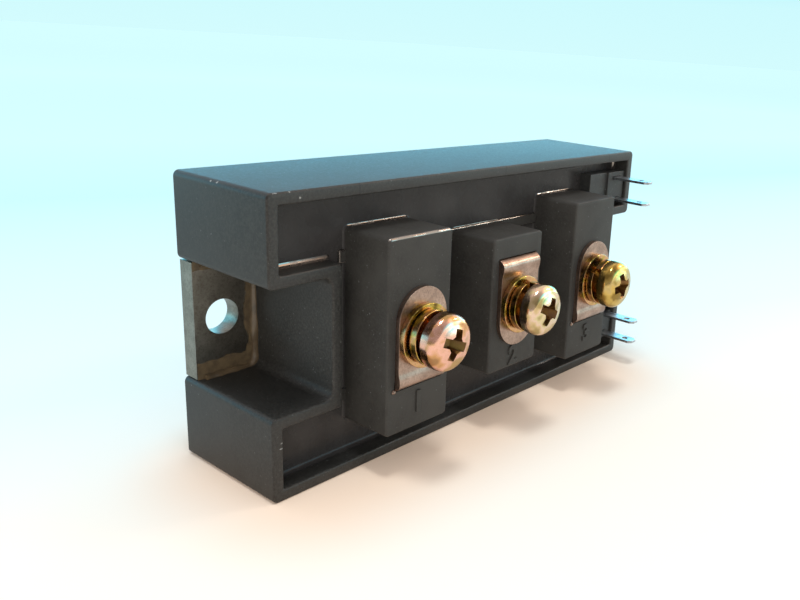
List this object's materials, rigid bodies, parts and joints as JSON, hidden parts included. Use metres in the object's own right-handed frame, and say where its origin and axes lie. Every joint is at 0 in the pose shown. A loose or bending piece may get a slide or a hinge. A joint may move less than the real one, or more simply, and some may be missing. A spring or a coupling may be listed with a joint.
{
  "type": "power semiconductor module",
  "caption": "Half-bridge transistor power module: notched black case, raised terminal blocks with washered screws over bent straps, thin control tabs and a copper base plate.",
  "frame": {"origin": "centre of the mounting face that goes against the heatsink", "axes": "+X along the module's length, +Y out of the mounting face, so the terminals look along -Y, +Z across its width; it stands on its long side as in the picture"},
  "size_m": [0.09, 0.0356, 0.0446],
  "materials": {
    "moulding": "fine satin black moulding",
    "potting_resin": "cast black resin, low sheen",
    "plated_copper": "dull nickel plate on copper",
    "strap_copper": "thin nickel plate on copper, satin",
    "zinc_steel": "zinc plate, yellow passivated",
    "tinned_brass": "tin plate, satin",
    "sealant": "amber adhesive, glossy",
    "silicone_gel": "clear soft gel",
    "lead_sleeve": "white woven sleeve",
    "solder": "reflowed solder",
    "bare_copper": "bare copper",
    "ceramic": "white alumina",
    "silicon": "metallised silicon chip",
    "bond_aluminium": "drawn aluminium wire"
  },
  "bodies": {
    "root": {"base_plate": "plated_copper", "base_sealant": "sealant", "epoxy_seal": "potting_resin", "silicone_gel": "silicone_gel", "case_frame": "moulding", "terminal_bridge": "moulding", "gate_guide_upper": "moulding", "gate_guide_lower": "moulding", "terminal_strap_1": "strap_copper", "terminal_nut_1": "zinc_steel", "terminal_screw_1": "zinc_steel", "flat_washer_1": "zinc_steel", "spring_washer_1": "zinc_steel", "terminal_strap_2": "strap_copper", "terminal_nut_2": "zinc_steel", "terminal_screw_2": "zinc_steel", "flat_washer_2": "zinc_steel", "spring_washer_2": "zinc_steel", "terminal_strap_3": "strap_copper", "terminal_nut_3": "zinc_steel", "terminal_screw_3": "zinc_steel", "flat_washer_3": "zinc_steel", "spring_washer_3": "zinc_steel", "gate_tab_1": "tinned_brass", "gate_lead_1": "lead_sleeve", "gate_tab_2": "tinned_brass", "gate_lead_2": "lead_sleeve", "gate_tab_3": "tinned_brass", "gate_lead_3": "lead_sleeve", "gate_tab_4": "tinned_brass", "gate_lead_4": "lead_sleeve", "base_solder_1": "solder", "back_copper_1": "bare_copper", "ceramic_1": "ceramic", "collector_pad_1": "bare_copper", "emitter_pad_1": "bare_copper", "gate_pad_1": "bare_copper", "igbt_chip_1": "silicon", "diode_chip_1": "silicon", "emitter_wires_1": "bond_aluminium", "gate_wire_1": "bond_aluminium", "base_solder_2": "solder", "back_copper_2": "bare_copper", "ceramic_2": "ceramic", "collector_pad_2": "bare_copper", "emitter_pad_2": "bare_copper", "gate_pad_2": "bare_copper", "igbt_chip_2": "silicon", "diode_chip_2": "silicon", "emitter_wires_2": "bond_aluminium", "gate_wire_2": "bond_aluminium", "phase_link": "bare_copper"}
  },
  "joints": []
}
